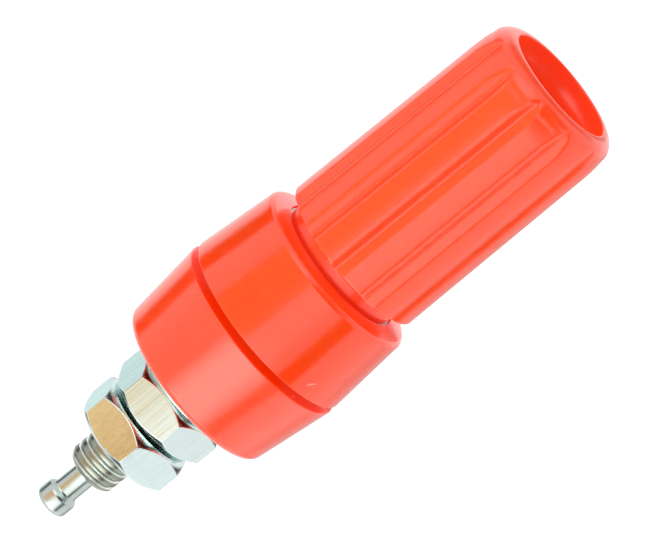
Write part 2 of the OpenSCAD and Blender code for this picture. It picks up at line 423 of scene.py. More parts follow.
# Each point: radius, height and, where a corner is rounded, the size of its round
stud = turn("stud", [
    (0, TIP_LOW), (HEAD_RADIUS, TIP_LOW, 0.4), (HEAD_RADIUS, HEAD_HIGH - HEAD_SLOPE, 0.14),
    (NECK_RADIUS, HEAD_HIGH, 0.1), (NECK_RADIUS, THREAD_LOW, 0.08),
    (THREAD_START, THREAD_LOW, 0.08), (THREAD_RADIUS, THREAD_LOW + THREAD_LEAD, 0.12),
    (THREAD_RADIUS, SHANK_LOW), (SHANK_RADIUS, SHANK_LOW, 0.15), (SHANK_RADIUS, FLANGE_LOW),
    (SKIRT_RADIUS, FLANGE_LOW, 0.08), (SKIRT_RADIUS, SKIRT_HIGH, 0.05),
    (FLANGE_RADIUS, SKIRT_HIGH, 0.03), (FLANGE_RADIUS, FLANGE_HIGH, 0.05),
    (TUBE_RADIUS, FLANGE_HIGH, 0.12), (TUBE_RADIUS, TUBE_HIGH - TUBE_CHAMFER, 0.1),
    (TUBE_RADIUS - TUBE_CHAMFER, TUBE_HIGH, 0.1), (0, TUBE_HIGH)], closed=False)
report(stud)

# %% Flat and drill the stud
SHANK_FLAT, CUTTER_REACH = 2.2, 4
CUTTER_LOW, CUTTER_HIGH = SHANK_LOW - 0.4, FLANGE_LOW - 0.02
for side in (-1, 1):
    flat_low, flat_high = sorted((side * SHANK_FLAT, side * CUTTER_REACH))
    work(stud, "DIFFERENCE", block_tool((flat_low, -CUTTER_REACH, CUTTER_LOW),
                                        (flat_high, CUTTER_REACH, CUTTER_HIGH)))
SOCKET_RADIUS, SOCKET_LOW, SOCKET_LEAD = 2.0, 10.89, 0.25
LEAD_RADIUS, DRILL_HIGH = SOCKET_RADIUS + 2 * SOCKET_LEAD, TUBE_HIGH + 1
DRILL_ANGLE = math.radians(30)
drill_point = SOCKET_RADIUS * math.tan(DRILL_ANGLE)
work(stud, "DIFFERENCE", turn("plug_drill", [
    (0, SOCKET_LOW - drill_point), (SOCKET_RADIUS, SOCKET_LOW),
    (SOCKET_RADIUS, TUBE_HIGH - SOCKET_LEAD), (LEAD_RADIUS, TUBE_HIGH + SOCKET_LEAD),
    (LEAD_RADIUS, DRILL_HIGH), (0, DRILL_HIGH)], closed=False))
WIRE_HEIGHT, WIRE_RADIUS, WIRE_DRILL, WIRE_SIDES = 8.05, 1.0, 12, 48
bpy.ops.object.select_all(action="DESELECT")
bpy.ops.mesh.primitive_cylinder_add(
    vertices=WIRE_SIDES, radius=WIRE_RADIUS * MM, depth=WIRE_DRILL * MM,
    location=(0, 0, WIRE_HEIGHT * MM), rotation=(math.pi / 2, 0, 0))
bpy.ops.object.transform_apply()
work(stud, "DIFFERENCE", bpy.context.object)
report(stud)

# %% Cut the stud's threads
# Sections of the grooves: radius and height along the axis
REAR_ROOT = [(1.76, -0.02), (1.76, 0.02), (1.92, 0.06), (1.98, 0.10), (2.02, 0.17),
             (2.02, -0.27), (1.985, -0.19), (1.955, -0.145), (1.91, -0.10), (1.85, -0.06)]
FRONT_ROOT = [(2.62, -0.06), (2.62, 0.06), (2.86, 0.2), (2.95, 0.27), (3.0, 0.34), (3.1, 0.4),
              (3.1, -0.4), (3.0, -0.34), (2.95, -0.27), (2.86, -0.2)]
REAR_PITCH, REAR_START, REAR_TURNS = 0.7, -18.545, 24
FRONT_PITCH, FRONT_START, FRONT_TURNS = 1.0, 7.15, 16
work(stud, "DIFFERENCE", helix_tool(REAR_ROOT, REAR_PITCH, REAR_START, REAR_TURNS))
work(stud, "DIFFERENCE", helix_tool(FRONT_ROOT, FRONT_PITCH, FRONT_START, FRONT_TURNS))
smooth(stud)

# %% [markdown]
# ## The two collars
# The collars are mouldings with a draft: both are widest at the panel and lean in towards
# their ends. The front one has a boss with a flat, which sits in the panel's hole, and its
# top is a shallow cone round a recess for the stud's flange; the rear one is drilled for
# the stud. Their edges are soft, because a mould is never dead sharp, and those rounds make
# the bright lines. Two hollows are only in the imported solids: the hole in the front collar
# for the stud's shank, and the pocket in the rear one for the end of the boss. Here the
# pieces overlap there, out of sight.

# %% Turn the front collar
COLLAR_STEPS = 128
BOSS_RADIUS, BOSS_LOW, BOSS_FLAT = 4.5, -3.6, 4.0
FRONT_WIDE, FRONT_NARROW, FRONT_EDGE, RIM_HIGH = 7.425, 6.925, 6.5, 6.78
SKIRT_GAP, CUTTER_DEPTH, PANEL_CLEAR = 0.05, 5, 0.01
RECESS_RADIUS = SKIRT_RADIUS + SKIRT_GAP
front_collar = turn("front_collar_shell", [
    (0, BOSS_LOW), (BOSS_RADIUS, BOSS_LOW, 0.2), (BOSS_RADIUS, 0), (FRONT_WIDE, 0, 0.09),
    (FRONT_NARROW, FRONT_EDGE, 0.37), (RECESS_RADIUS, RIM_HIGH, 0.04),
    (RECESS_RADIUS, FLANGE_LOW), (0, FLANGE_LOW)], closed=False, steps=COLLAR_STEPS)
work(front_collar, "DIFFERENCE", block_tool(
    (BOSS_FLAT, -CUTTER_DEPTH, -CUTTER_DEPTH), (BOSS_FLAT + 2, CUTTER_DEPTH, -PANEL_CLEAR)))
smooth(front_collar)

# %% Turn the rear collar
REAR_LOW, REAR_HIGH, REAR_NARROW, REAR_WIDE = -7.1, -0.6, 6.75, 7.475
THREAD_HOLE, HOLE_LOW, HOLE_HIGH = 2.25, -9, 1
rear_collar = turn("rear_collar_shell", [
    (0, REAR_LOW), (REAR_NARROW, REAR_LOW, 0.55), (REAR_WIDE, REAR_HIGH, 0.09),
    (0, REAR_HIGH)], closed=False, steps=COLLAR_STEPS)
work(rear_collar, "DIFFERENCE", turn("hole_drill", [
    (0, HOLE_LOW), (THREAD_HOLE, HOLE_LOW), (THREAD_HOLE, HOLE_HIGH), (0, HOLE_HIGH)], closed=False))
smooth(rear_collar)

# %% [markdown]
# ## Washer and nuts
# The nuts are cut from hexagon bar and chamfered on a lathe at both ends, which gives
# each flat its round-ended outline. The same is done here: a six-sided cylinder is
# cut down to a turned form with a Boolean, and a Bevel modifier then breaks the edges.
# The bore and its thread come last, so that the bevel leaves them alone.

# %% Turn the washer
WASHER_RADIUS, WASHER_LOW, WASHER_HIGH = 4.075, -7.9, -7.1
washer = smooth(turn("washer_ring", [
    (THREAD_HOLE, WASHER_LOW, 0.08), (WASHER_RADIUS, WASHER_LOW, 0.12),
    (WASHER_RADIUS, WASHER_HIGH, 0.12), (THREAD_HOLE, WASHER_HIGH, 0.08)]))

# %% Make the nuts
NUT_FLATS, NUT_HEIGHT, NUT_FACE, NUT_CHAMFER = 7.7, 3.0, 3.6575, math.radians(40)
NUT_CORNER = NUT_FLATS / math.sqrt(3)
NUT_EDGE, NUT_EDGE_ANGLE, NUT_STEPS, NUT_SPARE = 0.05, math.radians(20), 144, 0.5
BORE_RADIUS, BORE_MOUTH, BORE_LEAD = 2.05, 2.8, 0.25
NUT_THREAD = [(1.95, -0.25), (1.95, 0.25), (2.06, 0.22), (2.27, 0.05), (2.27, -0.05),
              (2.06, -0.22)]
NUT_THREAD_BELOW, NUT_TURNS = 0.9, 6
# A six-sided cylinder has a corner in front; half a side's angle puts a flat there
FLAT_IN_FRONT = 30


def make_nut(name, low, degrees):
    high = low + NUT_HEIGHT
    bpy.ops.object.select_all(action="DESELECT")
    bpy.ops.mesh.primitive_cylinder_add(
        vertices=6, radius=NUT_CORNER * MM, depth=(NUT_HEIGHT + 2 * NUT_SPARE) * MM,
        location=(0, 0, (low + high) / 2 * MM), rotation=(0, 0, math.radians(degrees + FLAT_IN_FRONT)))
    nut = bpy.context.object
    nut.name = nut.data.name = name
    bpy.ops.object.transform_apply()
    wide = NUT_CORNER + NUT_SPARE
    slope = (wide - NUT_FACE) * math.tan(NUT_CHAMFER)
    work(nut, "INTERSECT", turn("chamfer_form", [
        (0, low), (NUT_FACE, low), (wide, low + slope), (wide, high - slope),
        (NUT_FACE, high), (0, high)], closed=False, steps=NUT_STEPS))
    edges = nut.modifiers.new("edges", "BEVEL")
    edges.width, edges.segments = NUT_EDGE * MM, 2
    edges.limit_method, edges.angle_limit = "ANGLE", NUT_EDGE_ANGLE
    only(nut)
    bpy.ops.object.modifier_apply(modifier=edges.name)
    work(nut, "DIFFERENCE", turn("bore", [
        (0, low - NUT_SPARE), (BORE_MOUTH, low - NUT_SPARE), (BORE_RADIUS, low + BORE_LEAD),
        (BORE_RADIUS, high - BORE_LEAD), (BORE_MOUTH, high + NUT_SPARE),
        (0, high + NUT_SPARE)], closed=False))
    work(nut, "DIFFERENCE", helix_tool(
        NUT_THREAD, REAR_PITCH, low - NUT_THREAD_BELOW, NUT_TURNS))
    return smooth(nut, sharp_from=35)


PANEL_NUT_LOW, PANEL_NUT_TURN = -10.94, -8.5
TERMINAL_NUT_LOW, TERMINAL_NUT_TURN = -14.19, -18.5
panel_nut = make_nut("panel_nut_hex", PANEL_NUT_LOW, PANEL_NUT_TURN)
terminal_nut = make_nut("terminal_nut_hex", TERMINAL_NUT_LOW, TERMINAL_NUT_TURN)

# %% [markdown]
# ## Pressing grooves into a turned piece
# The knob's flutes and the bush's knurl are both grooves along the axis. The Cast
# modifier pulls vertices straight towards the axis, each by its weight in a vertex group,
# so a groove of any section is only a matter of painting those weights in code. That
# keeps the mesh in clean rings, which a Boolean would not.

# %% Helper for grooves
CAST_RADIUS, LEAST_PRESS = 2.0, 1e-5


def press_grooves(piece, new_radius):
    group = piece.vertex_groups.new(name="grooves")
    moved = 0
    for corner in piece.data.vertices:
        radius = math.hypot(corner.co.x, corner.co.y) / MM
        target = new_radius(radius, math.atan2(corner.co.y, corner.co.x), corner.co.z / MM)
        if target < radius - LEAST_PRESS:
            group.add([corner.index], (radius - target) / (radius - CAST_RADIUS), "REPLACE")
            moved += 1
    squeeze = piece.modifiers.new("squeeze", "CAST")
    squeeze.cast_type, squeeze.use_radius_as_size = "CYLINDER", False
    squeeze.factor, squeeze.size, squeeze.vertex_group = 1.0, CAST_RADIUS * MM, group.name
    only(piece)
    bpy.ops.object.modifier_apply(modifier=squeeze.name)
    piece.vertex_groups.clear()
    print(f"{piece.name}: {moved} vertices pressed in")


print("groove press ready")

# %% [markdown]
# ## The knob and its bush
# The knob is a thick red moulding with twelve narrow flutes. Their flanks are straight, as
# the order of the bright and dark lines in the picture shows, and meet in a soft bottom.
# They are open at the lower end and run out in the round lip of the mouth, where the wall
# turns inwards past the bottom of the flute. A smooth minimum between wall and groove gives
# the soft edges that the moulding has. Below the neck a thin lip comes close to the stud's
# skirt, and inside the mouth there is a soft ring. The brass bush inside carries the thread
# and is knurled to grip.

# %% Turn the knob
KNOB_LOW, KNOB_TOP, FLUTE_LOW, KNOB_FLOOR = 6.74, 27.19, 7.89, 7.94
WALL_LOW, WALL_HIGH, WALL_TURN, WALL_MIDDLE = 6.2, 6.05, 24.19, (6.13, 15.5)
SHOULDER_RADIUS, SHOULDER_STEPS, LIP_IN, LIP_SPARE = 5.87, 8, 0.1, 0.005
KNOB_NECK, MOUTH_RADIUS, CAVITY_RADIUS, BUSH_HOLE = 5.05, 4.45, 4.3, 3.9
NECK_LOW, NECK_INNER = 6.68, 4.78
# The ring in the mouth, inwards and down from the mouth's edge, and where the cavity starts
RING_TOP, RING_LOW, CAVITY_DOWN = (0.03, 0.95), (0.22, 1.6), 5
LIP_OUT = SHOULDER_RADIUS - MOUTH_RADIUS - LIP_IN
shoulder_height = KNOB_TOP - LIP_OUT - WALL_TURN
shoulder = []
for i in range(SHOULDER_STEPS + 1):
    share = i / SHOULDER_STEPS
    shoulder.append((WALL_HIGH - (WALL_HIGH - SHOULDER_RADIUS) * share ** 2,
                     WALL_TURN + shoulder_height * i / SHOULDER_STEPS))
knob = turn("knob_shell", [
    (BUSH_HOLE, KNOB_LOW, 0.1), (NECK_INNER, KNOB_LOW), (NECK_INNER, NECK_LOW, 0.02),
    (KNOB_NECK, NECK_LOW, 0.02), (KNOB_NECK, FLUTE_LOW, 0.06), (WALL_LOW, FLUTE_LOW, 0.25),
    WALL_MIDDLE, *shoulder,
    (SHOULDER_RADIUS, KNOB_TOP, LIP_OUT - LIP_SPARE), (MOUTH_RADIUS, KNOB_TOP, LIP_IN - LIP_SPARE),
    (MOUTH_RADIUS - RING_TOP[0], KNOB_TOP - RING_TOP[1], 0.25),
    (MOUTH_RADIUS - RING_LOW[0], KNOB_TOP - RING_LOW[1], 0.25),
    (CAVITY_RADIUS, KNOB_TOP - CAVITY_DOWN), (CAVITY_RADIUS, KNOB_FLOOR),
    (BUSH_HOLE, KNOB_FLOOR)], steps=432, segments=12)
report(knob)

# %% Flute the knob
FLUTE_COUNT, FLUTE_DEPTH, FLUTE_ROUND, FLUTE_SOFT = 12, 0.36, 0.1, 0.1
FLUTE_SLOPE = math.tan(math.radians(31.5))
FLUTE_PITCH = 2 * math.pi / FLUTE_COUNT
DRAFT = (WALL_LOW - WALL_HIGH) / (WALL_TURN - FLUTE_LOW)
# Below this height and inside this radius the knob has no flutes
PLAIN_LOW, PLAIN_RADIUS = FLUTE_LOW - 0.01, 4.6


def fluted(radius, angle, height):
    if height < PLAIN_LOW or radius < PLAIN_RADIUS:
        return radius
    turned = (angle + math.pi / 2 + FLUTE_PITCH / 2) % FLUTE_PITCH - FLUTE_PITCH / 2
    bottom = WALL_LOW - FLUTE_DEPTH - (height - FLUTE_LOW) * DRAFT
    aside = radius * math.sin(turned)
    groove = bottom + FLUTE_SLOPE * (math.hypot(aside, FLUTE_ROUND) - FLUTE_ROUND)
    share = min(max(0.5 + 0.5 * (groove - radius) / FLUTE_SOFT, 0), 1)
    return groove + (radius - groove) * share - FLUTE_SOFT * share * (1 - share)


press_grooves(knob, fluted)
smooth(knob)

# %% Turn and knurl the bush
BUSH_RADIUS, BUSH_BORE, BUSH_LEAD, BUSH_STEPS = 4.25, 3.05, 0.3, 144
BUSH_HIGH, BUSH_SEAT, BUSH_FIT = KNOB_LOW + 8.2, KNOB_FLOOR + 0.04, BUSH_HOLE - 0.05
WAIST_RADIUS, WAIST_LOW, WAIST_HIGH, WAIST_SLOPE = BUSH_RADIUS - 0.25, 10.75, 11.95, 0.2
KNURL_DEPTH, KNURL_INSIDE, KNURL_EVERY = 0.14, 4.1, 4
BUSH_THREAD = [(2.9, -0.36), (2.9, 0.36), (3.06, 0.32), (3.32, 0.06), (3.32, -0.06),
               (3.06, -0.32)]
BUSH_START, BUSH_TURNS = 5.95, 10
bush = turn("bush_turned", [
    (BUSH_BORE + BUSH_LEAD, KNOB_LOW), (BUSH_FIT, KNOB_LOW, 0.1), (BUSH_FIT, BUSH_SEAT),
    (BUSH_RADIUS, BUSH_SEAT, 0.1), (BUSH_RADIUS, WAIST_LOW, 0.08),
    (WAIST_RADIUS, WAIST_LOW + WAIST_SLOPE), (WAIST_RADIUS, WAIST_HIGH - WAIST_SLOPE),
    (BUSH_RADIUS, WAIST_HIGH, 0.08), (BUSH_RADIUS, BUSH_HIGH, 0.15),
    (BUSH_BORE + BUSH_LEAD, BUSH_HIGH), (BUSH_BORE, BUSH_HIGH - BUSH_LEAD),
    (BUSH_BORE, KNOB_LOW + BUSH_LEAD)], steps=BUSH_STEPS, segments=3)


def knurled(radius, angle, height):
    step = round(angle * BUSH_STEPS / (2 * math.pi))
    pressed = radius > KNURL_INSIDE and step % KNURL_EVERY == 0
    return radius - KNURL_DEPTH if pressed else radius


press_grooves(bush, knurled)
work(bush, "DIFFERENCE", helix_tool(BUSH_THREAD, FRONT_PITCH, BUSH_START, BUSH_TURNS))
smooth(bush, sharp_from=30)

# %% [markdown]
# ## Marks that every finish shares
# No surface is quite even. A slow cloud varies colour and gloss, hair-thin scratches come
# from handling, and a few grains of dust sit on top. All finishes use the same three
# masks with their own strengths, so they are made once as a node group. The scratches
# are the contour lines of a noise that is stretched almost into stripes, broken up by a
# second noise.

# %% The group of marks
CLOUD_SCALE, HAIR_SCALE, BREAK_SCALE, DUST_SCALE = 260.0, 1300.0, 700.0, 620.0
HAIR_TURN, HAIR_STRETCH, HAIR_WIDTH = (0.5, 0.35, 0.2), (1.0, 1.0, 0.03), 0.008
BREAK_LOW, BREAK_HIGH = 0.58, 0.68
DUST_CORE, DUST_EDGE, DUST_CHOICE = 0.02, 0.05, 0.75


def vector_node(tree, operation, *vectors, **inputs):
    return add_node(tree, "ShaderNodeVectorMath", {**dict(enumerate(vectors)), **inputs},
                    operation=operation).outputs


marks, given, made = new_group(
    "handling_marks", [("Vector", VECTOR, None), ("Size", FLOAT, 1.0)],
    [("Cloud", FLOAT), ("Scratches", FLOAT), ("Dust", FLOAT)])
finer = math_node(marks, "DIVIDE", 1.0, given["Size"])
place = vector_node(marks, "SCALE", given["Vector"], Scale=finer)["Vector"]
marks.links.new(noise(marks, place, CLOUD_SCALE, detail=4.0), made["Cloud"])
slanted = add_node(marks, "ShaderNodeMapping", {
    "Vector": place, "Rotation": HAIR_TURN, "Scale": HAIR_STRETCH}).outputs["Vector"]
hair = noise(marks, slanted, HAIR_SCALE, detail=1.0)
off_line = math_node(marks, "ABSOLUTE", math_node(marks, "SUBTRACT", hair, 0.5))
line = ramp(marks, off_line, 0.0, HAIR_WIDTH, 1.0, 0.0)
some = ramp(marks, noise(marks, place, BREAK_SCALE, detail=2.0), BREAK_LOW, BREAK_HIGH)
marks.links.new(math_node(marks, "MULTIPLY", line, some), made["Scratches"])
grains = add_node(marks, "ShaderNodeTexVoronoi", {"Vector": place, "Scale": DUST_SCALE}).outputs
near = ramp(marks, grains["Distance"], DUST_CORE, DUST_EDGE, 1.0, 0.0)
lot = add_node(marks, "ShaderNodeSeparateColor", {"Color": grains["Color"]}).outputs["Red"]
chosen = math_node(marks, "GREATER_THAN", lot, DUST_CHOICE)
marks.links.new(math_node(marks, "MULTIPLY", near, chosen), made["Dust"])
print("marks group with", len(marks.nodes), "nodes")

# %% [markdown]
# ## Single nicks
# The picture also shows a few marks that are no pattern: where something sharp has slipped
# over the lower edge of the front collar, and a short dark dash on the rear one. Each is a
# stroke from one point to another. The group measures how far a point lies from that
# stroke, as one would with a ruler, and turns it into a soft mask.

# %% The group of a nick
nick, given, made = new_group(
    "nick",
    [("Vector", VECTOR, None), ("Start", VECTOR, None), ("Run", VECTOR, None),
     ("Width", FLOAT, 0.0001)],
    [("Mask", FLOAT)])
offset = vector_node(nick, "SUBTRACT", given["Vector"], given["Start"])["Vector"]
shadow = vector_node(nick, "DOT_PRODUCT", offset, given["Run"])["Value"]
square = vector_node(nick, "DOT_PRODUCT", given["Run"], given["Run"])["Value"]
along = math_node(nick, "DIVIDE", shadow, square)
along = add_node(nick, "ShaderNodeClamp", {"Value": along}).outputs["Result"]
foot = vector_node(nick, "SCALE", given["Run"], Scale=along)["Vector"]
gap = vector_node(nick, "LENGTH", vector_node(nick, "SUBTRACT", offset, foot)["Vector"])["Value"]
nick.links.new(ramp(nick, gap, 0.0, given["Width"], 1.0, 0.0, "SMOOTHSTEP"), made["Mask"])
print("nick group with", len(nick.nodes), "nodes")

# %% [markdown]
# ## One place on a round piece
# Some painted light and shade sits in one place only: down in a groove, in the mouth, on the
# thread. All pieces are round, so two heights and a radius are enough to name such a place.
# The group gives 1 between the heights and inside the radius, and 0 everywhere else.

# %% The group of a place
def from_axis(tree, place):
    level = vector_node(tree, "MULTIPLY", place, (1, 1, 0))["Vector"]
    return vector_node(tree, "LENGTH", level)["Value"]


zone, given, made = new_group(
    "zone",
    [("Vector", VECTOR, None), ("Low", FLOAT, 0.0), ("High", FLOAT, 1.0), ("Radius", FLOAT, 1.0)],
    [("Mask", FLOAT)])
level = add_node(zone, "ShaderNodeSeparateXYZ", {"Vector": given["Vector"]}).outputs["Z"]
between = math_node(zone, "MULTIPLY", math_node(zone, "GREATER_THAN", level, given["Low"]),
                    math_node(zone, "LESS_THAN", level, given["High"]))
inside = math_node(zone, "LESS_THAN", from_axis(zone, given["Vector"]), given["Radius"])
zone.links.new(math_node(zone, "MULTIPLY", between, inside), made["Mask"])
print("place group with", len(zone.nodes), "nodes")

# %% [markdown]
# ## Red plastic
# The red is a glossy moulding: an even, saturated colour under a clear skin. The skin is a
# coat on the shader, which gives the sharp edges of the lamp's reflection, while the body
# under it is softer. The pigment scatters so strongly that light goes in and comes out
# again a millimetre or two away, still red. Subsurface scattering gives a part of that, and
# a painted glow, a red emission, stands in for the rest. Deep places, such as the groove
# under the knob, the gap between the collars and the mouth, get painted light and painted
# shade: a glow of their own, and a deeper red with less gloss. A faint waviness in the bump
# is what a polished mould leaves.

# %% Values for the red plastics
DUST_COLOUR, DUST_SHARE = (1.0, 0.62, 0.52, 1), 0.3
PALE_NICK, DARK_NICK = (1.0, 0.66, 0.55, 1), (0.35, 0.012, 0.004, 1)
CLOUD_GLOSS, SCRATCH_GLOSS, NICK_GLOSS = 0.12, 0.2, 0.3
WAVE_SCALE, GRAIN_SCALE, BUMP_HEIGHT = 420.0, 5000.0, 0.06 * MM
GRAIN_RISE, SCRATCH_RISE, NICK_RISE = 0.012, -0.016, -0.1
SCATTER_SHARE, SCATTER_RADIUS, SCATTER_REACH = 0.8, (1.0, 0.1, 0.04), 5.0 * MM
# Painted light and shade: the deeper red for deep places is a painted shade; DEEP_GLOW is painted light
# there, while LINE_GLOW and GAP_GLOW glow less than the rest, a painted shade in the line under the
# knob and in the gap between the collars.
SKIN_COAT, DEEP_SHADE_RED = 0.85, (0.6, 0.012, 0.0, 1)
SKIN_GLOW, DEEP_GLOW = (0.38, 0.011, 0.0, 1), (0.55, 0.02, 0.005, 1)
LINE_GLOW, GAP_GLOW = (0.36, 0.010, 0.001, 1), (0.22, 0.014, 0.0, 1)
MOUTH_GLOW = (0.40, 0.022, 0.006, 1)
print("red plastic: skin", SKIN_COAT, "and glow", SKIN_GLOW[:3])

# %% How a red plastic is mixed
def red_plastic(name, deep, pale, body_gloss, skin_gloss, deep_places, nicks=()):
    paint = bpy.data.materials.new(name)
    paint.use_nodes = True
    tree = paint.node_tree
    shader = tree.nodes["Principled BSDF"]
    place = add_node(tree, "ShaderNodeTexCoord").outputs["Object"]
    mark = add_node(tree, "ShaderNodeGroup", {"Vector": place}, node_tree=marks).outputs
    colour = mix_colours(tree, mark["Cloud"], deep, pale)
    dusty = math_node(tree, "MULTIPLY", mark["Dust"], DUST_SHARE)
    colour = mix_colours(tree, dusty, colour, DUST_COLOUR)
    gloss = math_node(tree, "MULTIPLY_ADD", mark["Cloud"], CLOUD_GLOSS, body_gloss - CLOUD_GLOSS / 2)
    gloss = math_node(tree, "MULTIPLY_ADD", mark["Scratches"], SCRATCH_GLOSS, gloss)
    waves = noise(tree, place, WAVE_SCALE, detail=2.0)
    grain = noise(tree, place, GRAIN_SCALE, detail=2.0)
    height = math_node(tree, "MULTIPLY_ADD", grain, GRAIN_RISE, waves)
    height = math_node(tree, "MULTIPLY_ADD", mark["Scratches"], SCRATCH_RISE, height)
    for start, end, width, shade in nicks:
        stroke = add_node(tree, "ShaderNodeGroup", node_tree=nick, inputs={
            "Vector": place, "Start": [v * MM for v in start],
            "Run": [(b - a) * MM for a, b in zip(start, end)], "Width": width * MM}).outputs["Mask"]
        stroke = math_node(tree, "MULTIPLY", stroke, waves)
        colour = mix_colours(tree, stroke, colour, shade)
        gloss = math_node(tree, "MULTIPLY_ADD", stroke, NICK_GLOSS, gloss)
        height = math_node(tree, "MULTIPLY_ADD", stroke, NICK_RISE, height)
    glow, coat = SKIN_GLOW, SKIN_COAT
    # Each deep place gets its painted glow, and a painted shade, a deeper red, as far as its gloss is
    # cut.
    for radius, low, high, shade, gloss_left in deep_places:
        inside = add_node(tree, "ShaderNodeGroup", node_tree=zone, inputs={
            "Vector": place, "Low": low * MM, "High": high * MM, "Radius": radius * MM}).outputs["Mask"]
        glow = mix_colours(tree, inside, glow, shade)
        duller = math_node(tree, "MULTIPLY_ADD", inside, gloss_left - 1.0, 1.0)
        coat = math_node(tree, "MULTIPLY", coat, duller)
        deeper = math_node(tree, "MULTIPLY", inside, 1.0 - gloss_left)
        colour = mix_colours(tree, deeper, colour, DEEP_SHADE_RED)
    bump = add_node(tree, "ShaderNodeBump", {
        "Height": height, "Strength": 1.0, "Distance": BUMP_HEIGHT}).outputs["Normal"]
    for socket, value in (
            ("Base Color", colour), ("Roughness", gloss), ("Normal", bump), ("Coat Weight", coat),
            ("Emission Color", glow), ("Emission Strength", 1.0), ("Coat Roughness", skin_gloss),
            ("Subsurface Weight", SCATTER_SHARE), ("Subsurface Radius", SCATTER_RADIUS),
            ("Subsurface Scale", SCATTER_REACH)):
        feed(tree, shader.inputs[socket], value)
    print(f"{name}: {len(deep_places)} deep places, {len(nicks)} nicks")
    return paint


print("red plastic can be mixed")

# %% Mix the red plastics
COLLAR_DEEP, COLLAR_PALE = (0.62, 0.047, 0.001, 1), (0.66, 0.063, 0.002, 1)
KNOB_DEEP, KNOB_PALE = (0.62, 0.058, 0.004, 1), (0.66, 0.076, 0.008, 1)
# Each deep place: radius, low and high in millimetres, its painted glow, and the share of gloss left;
# one minus that share is how much painted shade, a deeper red, it gets.
# Each nick: start and end in millimetres, width, colour.
front_red = red_plastic(
    "front_red", COLLAR_DEEP, COLLAR_PALE, body_gloss=0.22, skin_gloss=0.10,
    deep_places=[(6.95, 6.3, 7.0, DEEP_GLOW, 0.9), (5.35, 6.3, 6.77, LINE_GLOW, 0.2)],
    nicks=[((4.62, -5.78, 0.35), (4.9, -5.53, 0.75), 0.06, DARK_NICK),
           ((4.9, -5.53, 0.75), (5.05, -5.38, 0.95), 0.05, DARK_NICK),
           ((5.0, -5.43, 0.95), (5.2, -5.23, 1.25), 0.12, PALE_NICK),
           ((5.2, -5.23, 1.25), (5.35, -5.08, 1.35), 0.10, PALE_NICK)])
rear_red = red_plastic(
    "rear_red", COLLAR_DEEP, COLLAR_PALE, body_gloss=0.22, skin_gloss=0.10,
    deep_places=[(7.3, -1.0, -0.55, GAP_GLOW, 0.2)],
    nicks=[((5.82, -4.42, -2.1), (5.95, -4.22, -2.6), 0.07, DARK_NICK)])
knob_red = red_plastic(
    "knob_red", KNOB_DEEP, KNOB_PALE, body_gloss=0.30, skin_gloss=0.15,
    deep_places=[(5.6, 7.05, 7.95, DEEP_GLOW, 0.9), (5.6, 6.0, 7.05, LINE_GLOW, 0.1),
                 (4.46, 20.0, 28.0, MOUTH_GLOW, 0.5)])

# %% [markdown]
# ## Nickel plate and brass
# The plating is thin and bright, so it shows every tool mark of the brass below. On the
# stud and the washer these run round the axis, as the lathe left them; on the nuts they
# run along the axis, as the bar was drawn. One group makes both kinds, from a noise
# that is stretched either round the axis or along it.

# %% The group of tool lines
BROAD_SHARE, WEAR_LOW, WEAR_HIGH = 0.3, 0.38, 0.62
lines, given, made = new_group(
    "tool_lines",
    [("Vector", VECTOR, None), ("Across", FLOAT, 1.0), ("Along", FLOAT, 1.0),
     ("Fineness", FLOAT, 9000.0)],
    [("Height", FLOAT), ("Streaks", FLOAT), ("Wear", FLOAT)])
parts = add_node(lines, "ShaderNodeSeparateXYZ", {"Vector": given["Vector"]}).outputs
stretched = add_node(lines, "ShaderNodeCombineXYZ", {
    "X": math_node(lines, "MULTIPLY", parts["X"], given["Across"]),
    "Y": math_node(lines, "MULTIPLY", parts["Y"], given["Across"]),
    "Z": math_node(lines, "MULTIPLY", parts["Z"], given["Along"])}).outputs["Vector"]
fine = noise(lines, stretched, given["Fineness"], detail=3.0)
broad_scale = math_node(lines, "MULTIPLY", given["Fineness"], BROAD_SHARE)
broad = noise(lines, stretched, broad_scale, detail=2.0)
lines.links.new(fine, made["Height"])
lines.links.new(broad, made["Streaks"])
half_bands = math_node(lines, "MULTIPLY", ramp(lines, broad, WEAR_LOW, WEAR_HIGH), 0.5)
grains = ramp(lines, fine, WEAR_LOW, WEAR_HIGH)
lines.links.new(math_node(lines, "MULTIPLY_ADD", grains, 0.5, half_bands), made["Wear"])
print("tool lines group with", len(lines.nodes), "nodes")

# %% [markdown]
# On each nut, the flat that faces the lens is painted tan, more towards one side and broken
# by its tool lines: a painted reflection of the tan card. Out at the corners the chamfers are
# painted dark: a painted shade. Both nuts have these marks, each with its own colour and
# strength, so each mark is a group. The flat is found by its distance from the axis along its
# own direction, and the chamfers by how far they face up or down.

# %% The groups of a nut's painted reflection and painted shade
FLAT_FROM, FLAT_FULL = (NUT_FLATS / 2 - 0.05) * MM, (NUT_FLATS / 2 - 0.01) * MM
FLAT_LEFT, FLAT_RIGHT = -2.2 * MM, 2.0 * MM
TAN_REFLECTION_LEAST, TAN_REFLECTION_LINES = 0.6, 0.8
